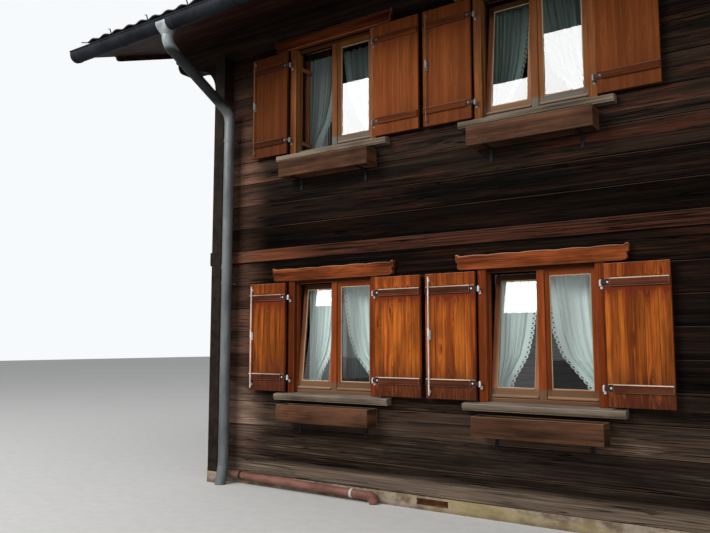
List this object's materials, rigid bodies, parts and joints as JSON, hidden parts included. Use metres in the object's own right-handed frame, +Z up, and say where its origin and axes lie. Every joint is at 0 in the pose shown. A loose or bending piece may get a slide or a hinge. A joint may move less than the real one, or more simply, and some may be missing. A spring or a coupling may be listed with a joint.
{
  "type": "alpine chalet",
  "caption": "Two-storey alpine log chalet with shuttered windows, flower boxes, a shallow tiled roof, zinc gutters and downpipes; the shutters swing shut.",
  "frame": {"origin": "on the ground under the middle of the house and of its roof", "axes": "+Z up, -Y out of the front wall (the long wall in the picture), +X along that wall to the right, seen from outside"},
  "size_m": [14, 10.738, 6.9509],
  "materials": {
    "plinth_concrete": "rough concrete, stained at the foot",
    "floor_boards": "plain planed boards",
    "dark_logs": "sun-blackened squared logs, cracked, reddish streaks, dull",
    "roof_timber": "dark weathered timber",
    "soffit_wood": "reddish dark boards",
    "roof_tile": "dark matt tiles",
    "barge_wood": "dark stained board",
    "zinc": "dull weathered zinc sheet",
    "drain_clay": "brown earthenware",
    "casing_wood": "red-brown oiled wood",
    "lintel_wood": "red-brown oiled wood, carved edges",
    "sill_wood": "bare weathered board",
    "window_wood": "varnished brown softwood",
    "window_glass": "clear float glass",
    "lower_shutter_wood": "orange-brown varnish, worn at the batten edges",
    "upper_shutter_wood": "reddish brown varnish",
    "black_iron": "black hinge straps",
    "box_wood": "brown stained planks",
    "soil": "dark potting soil",
    "lace": "white net with a scalloped lace edge",
    "rod_wood": "turned wooden rod",
    "door_wood": "oiled plank door"
  },
  "bodies": {
    "root": {"foundation": "plinth_concrete", "ground_floor": "floor_boards", "upper_floor": "floor_boards", "attic_floor": "floor_boards", "front_wall_left": "dark_logs", "front_wall_right": "dark_logs", "front_band": "dark_logs", "front_wall_upper": "dark_logs", "back_wall": "dark_logs", "left_wall": "dark_logs", "right_wall": "dark_logs", "inner_walls": "floor_boards", "purlins": "roof_timber", "purlin_brackets": "roof_timber", "rafters": "roof_timber", "soffit_boards": "soffit_wood", "roof_boards": "roof_timber", "front_roof_tiles": "roof_tile", "back_roof_tiles": "roof_tile", "ridge_tiles": "roof_tile", "barge_boards": "barge_wood", "gutters": "zinc", "downpipes": "zinc", "swan_necks": "zinc", "pipe_clips": "zinc", "drain_pipe": "drain_clay", "front_casings": "casing_wood", "front_lintels": "lintel_wood", "front_sills": "sill_wood", "front_frames": "window_wood", "front_sashes": "window_wood", "front_glass": "window_glass", "lower_window_1_left_sash": "window_wood", "lower_window_2_left_sash": "window_wood", "upper_window_1_left_sash": "window_wood", "upper_window_2_left_sash": "window_wood", "rear_casings": "casing_wood", "rear_lintels": "lintel_wood", "rear_sills": "sill_wood", "rear_frames": "window_wood", "rear_sashes": "window_wood", "rear_glass": "window_glass", "fixed_shutters": "upper_shutter_wood", "shutter_pins": "zinc", "window_boxes": "box_wood", "box_soil": "soil", "curtains": "lace", "curtain_rods": "rod_wood", "front_door": "door_wood", "door_frame": "casing_wood"},
    "lower_window_1_left_shutter": {"lower_window_1_left_shutter": "lower_shutter_wood"},
    "lower_window_1_right_shutter": {"lower_window_1_right_shutter": "lower_shutter_wood"},
    "lower_window_2_left_shutter": {"lower_window_2_left_shutter": "lower_shutter_wood"},
    "lower_window_2_right_shutter": {"lower_window_2_right_shutter": "lower_shutter_wood"},
    "upper_window_1_left_shutter": {"upper_window_1_left_shutter": "upper_shutter_wood"},
    "upper_window_1_right_shutter": {"upper_window_1_right_shutter": "upper_shutter_wood"},
    "upper_window_2_left_shutter": {"upper_window_2_left_shutter": "upper_shutter_wood"},
    "upper_window_2_right_shutter": {"upper_window_2_right_shutter": "upper_shutter_wood"}
  },
  "joints": [
    {"name": "lower_window_1_left_hinge", "type": "hinge", "parent": "root", "child": "lower_window_1_left_shutter", "pos_m": [-4.655, -4.2675, 1], "axis": [0, 0, 1], "range_deg": [0, 180]},
    {"name": "lower_window_1_right_hinge", "type": "hinge", "parent": "root", "child": "lower_window_1_right_shutter", "pos_m": [-3.603, -4.2675, 1], "axis": [0, 0, -1], "range_deg": [0, 180]},
    {"name": "lower_window_2_left_hinge", "type": "hinge", "parent": "root", "child": "lower_window_2_left_shutter", "pos_m": [-2.504, -4.2675, 1], "axis": [0, 0, 1], "range_deg": [0, 180]},
    {"name": "lower_window_2_right_hinge", "type": "hinge", "parent": "root", "child": "lower_window_2_right_shutter", "pos_m": [-1.452, -4.2675, 1], "axis": [0, 0, -1], "range_deg": [0, 180]},
    {"name": "upper_window_1_left_hinge", "type": "hinge", "parent": "root", "child": "upper_window_1_left_shutter", "pos_m": [-4.655, -4.2675, 3.507], "axis": [0, 0, 1], "range_deg": [0, 180]},
    {"name": "upper_window_1_right_hinge", "type": "hinge", "parent": "root", "child": "upper_window_1_right_shutter", "pos_m": [-3.603, -4.2675, 3.507], "axis": [0, 0, -1], "range_deg": [0, 180]},
    {"name": "upper_window_2_left_hinge", "type": "hinge", "parent": "root", "child": "upper_window_2_left_shutter", "pos_m": [-2.504, -4.2675, 3.507], "axis": [0, 0, 1], "range_deg": [0, 180]},
    {"name": "upper_window_2_right_hinge", "type": "hinge", "parent": "root", "child": "upper_window_2_right_shutter", "pos_m": [-1.452, -4.2675, 3.507], "axis": [0, 0, -1], "range_deg": [0, 180]}
  ]
}
